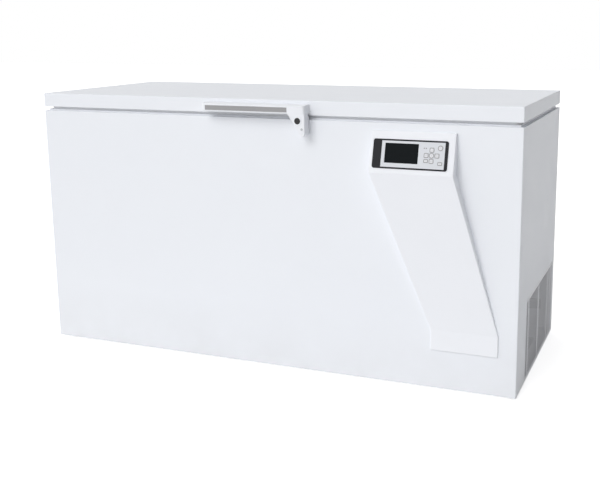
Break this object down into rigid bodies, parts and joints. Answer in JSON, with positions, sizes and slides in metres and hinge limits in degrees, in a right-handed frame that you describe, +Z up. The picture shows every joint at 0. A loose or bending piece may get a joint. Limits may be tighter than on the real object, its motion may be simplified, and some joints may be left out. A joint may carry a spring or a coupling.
{
  "type": "chest ultra low temperature freezer",
  "caption": "Long white laboratory chest freezer with a hinged foamed lid, lockable handle, slanted control cover with display and keys, and slotted side grille.",
  "frame": {"origin": "middle of the overall box, at floor level under the feet", "axes": "+X along the cabinet towards the machine room and its grille, -Y out of the front, +Z up"},
  "size_m": [1.77, 0.788, 0.942],
  "materials": {
    "white_paint": "satin",
    "zinc_steel": "satin",
    "tank_steel": "satin",
    "foam": "matte",
    "white_plastic": "satin",
    "strip_grey": "matte",
    "seal_grey": "matte",
    "bezel_black": "satin",
    "keypad_silver": "satin",
    "key_grey": "satin",
    "display_dark": "gloss",
    "board_green": "satin",
    "grille_grey": "satin",
    "black_rubber": "matte",
    "black_enamel": "satin",
    "copper": "satin",
    "aluminium": "satin",
    "black_plastic": "matte",
    "box_grey": "matte",
    "lock_black": "gloss",
    "lock_zinc": "satin"
  },
  "bodies": {
    "cabinet": {"base_pan": "zinc_steel", "bulkhead": "zinc_steel", "cabinet_foam": "foam", "cascade_exchanger": "aluminium", "collar_rails": "white_plastic", "compressor_grommets": "black_rubber", "compressor_high": "black_enamel", "compressor_low": "black_enamel", "condenser": "aluminium", "control_cover": "white_plastic", "controller_board": "board_green", "discharge_pipe": "copper", "display_bezel": "bezel_black", "display_window": "display_dark", "electrical_box": "box_grey", "evaporator_coil": "copper", "fan_motor": "black_plastic", "fan_shroud": "black_plastic", "filter_drier": "copper", "front_panel": "white_paint", "glide_feet": "black_rubber", "hinge_base_1": "zinc_steel", "hinge_base_2": "zinc_steel", "hinge_base_3": "zinc_steel", "hinge_pins": "zinc_steel", "inner_tank": "tank_steel", "keypad_plate": "keypad_silver", "left_side_panel": "white_paint", "lock_keeper": "white_plastic", "machine_shelf": "zinc_steel", "oil_separator": "black_enamel", "power_inlet": "black_plastic", "rear_grille": "grille_grey", "rear_panel": "white_paint", "right_side_panel": "white_paint", "side_grille": "grille_grey", "suction_pipe": "copper"},
    "lid": {"lid_shell": "white_paint", "lid_foam": "foam", "lid_liner": "white_plastic", "lid_gasket": "seal_grey", "handle_bar": "white_plastic", "handle_strip": "strip_grey", "lock_housing": "white_plastic", "fin_screw": "zinc_steel", "hinge_leaf_1": "zinc_steel", "hinge_leaf_2": "zinc_steel", "hinge_leaf_3": "zinc_steel"},
    "lock": {"lock_cylinder": "lock_black", "lock_cam": "lock_zinc"},
    "fan": {"fan_rotor": "black_plastic"},
    "key_ok_body": {"key_ok": "key_grey"},
    "key_up_body": {"key_up": "key_grey"},
    "key_down_body": {"key_down": "key_grey"},
    "key_left_body": {"key_left": "key_grey"},
    "key_right_body": {"key_right": "key_grey"},
    "key_back_body": {"key_back": "key_grey"},
    "key_power_body": {"key_power": "key_grey"},
    "key_mute_body": {"key_mute": "key_grey"}
  },
  "joints": [
    {"name": "lid_hinge", "type": "hinge", "parent": "cabinet", "child": "lid", "pos_m": [0, 0.385, 0.8865], "axis": [-1, 0, 0], "range_deg": [0, 80]},
    {"name": "lock_turn", "type": "hinge", "parent": "lid", "child": "lock", "pos_m": [0.155, -0.389, 0.878], "axis": [0, -1, 0], "range_deg": [0, 90]},
    {"name": "fan_spin", "type": "hinge", "parent": "cabinet", "child": "fan", "pos_m": [0.7569, 0.287, 0.4565], "axis": [0, 1, 0], "continuous": true},
    {"name": "key_ok_press", "type": "slide", "parent": "cabinet", "child": "key_ok_body", "axis": [0, 0.9643, -0.265], "range_m": [0, 0.0006], "stiffness_N_per_m": 1200, "springref_m": -0.0002},
    {"name": "key_up_press", "type": "slide", "parent": "cabinet", "child": "key_up_body", "axis": [0, 0.9643, -0.265], "range_m": [0, 0.0006], "stiffness_N_per_m": 1200, "springref_m": -0.0002},
    {"name": "key_down_press", "type": "slide", "parent": "cabinet", "child": "key_down_body", "axis": [0, 0.9643, -0.265], "range_m": [0, 0.0006], "stiffness_N_per_m": 1200, "springref_m": -0.0002},
    {"name": "key_left_press", "type": "slide", "parent": "cabinet", "child": "key_left_body", "axis": [0, 0.9643, -0.265], "range_m": [0, 0.0006], "stiffness_N_per_m": 1200, "springref_m": -0.0002},
    {"name": "key_right_press", "type": "slide", "parent": "cabinet", "child": "key_right_body", "axis": [0, 0.9643, -0.265], "range_m": [0, 0.0006], "stiffness_N_per_m": 1200, "springref_m": -0.0002},
    {"name": "key_back_press", "type": "slide", "parent": "cabinet", "child": "key_back_body", "axis": [0, 0.9643, -0.265], "range_m": [0, 0.0006], "stiffness_N_per_m": 1200, "springref_m": -0.0002},
    {"name": "key_power_press", "type": "slide", "parent": "cabinet", "child": "key_power_body", "axis": [0, 0.9643, -0.265], "range_m": [0, 0.0006], "stiffness_N_per_m": 1200, "springref_m": -0.0002},
    {"name": "key_mute_press", "type": "slide", "parent": "cabinet", "child": "key_mute_body", "axis": [0, 0.9643, -0.265], "range_m": [0, 0.0006], "stiffness_N_per_m": 1200, "springref_m": -0.0002}
  ]
}
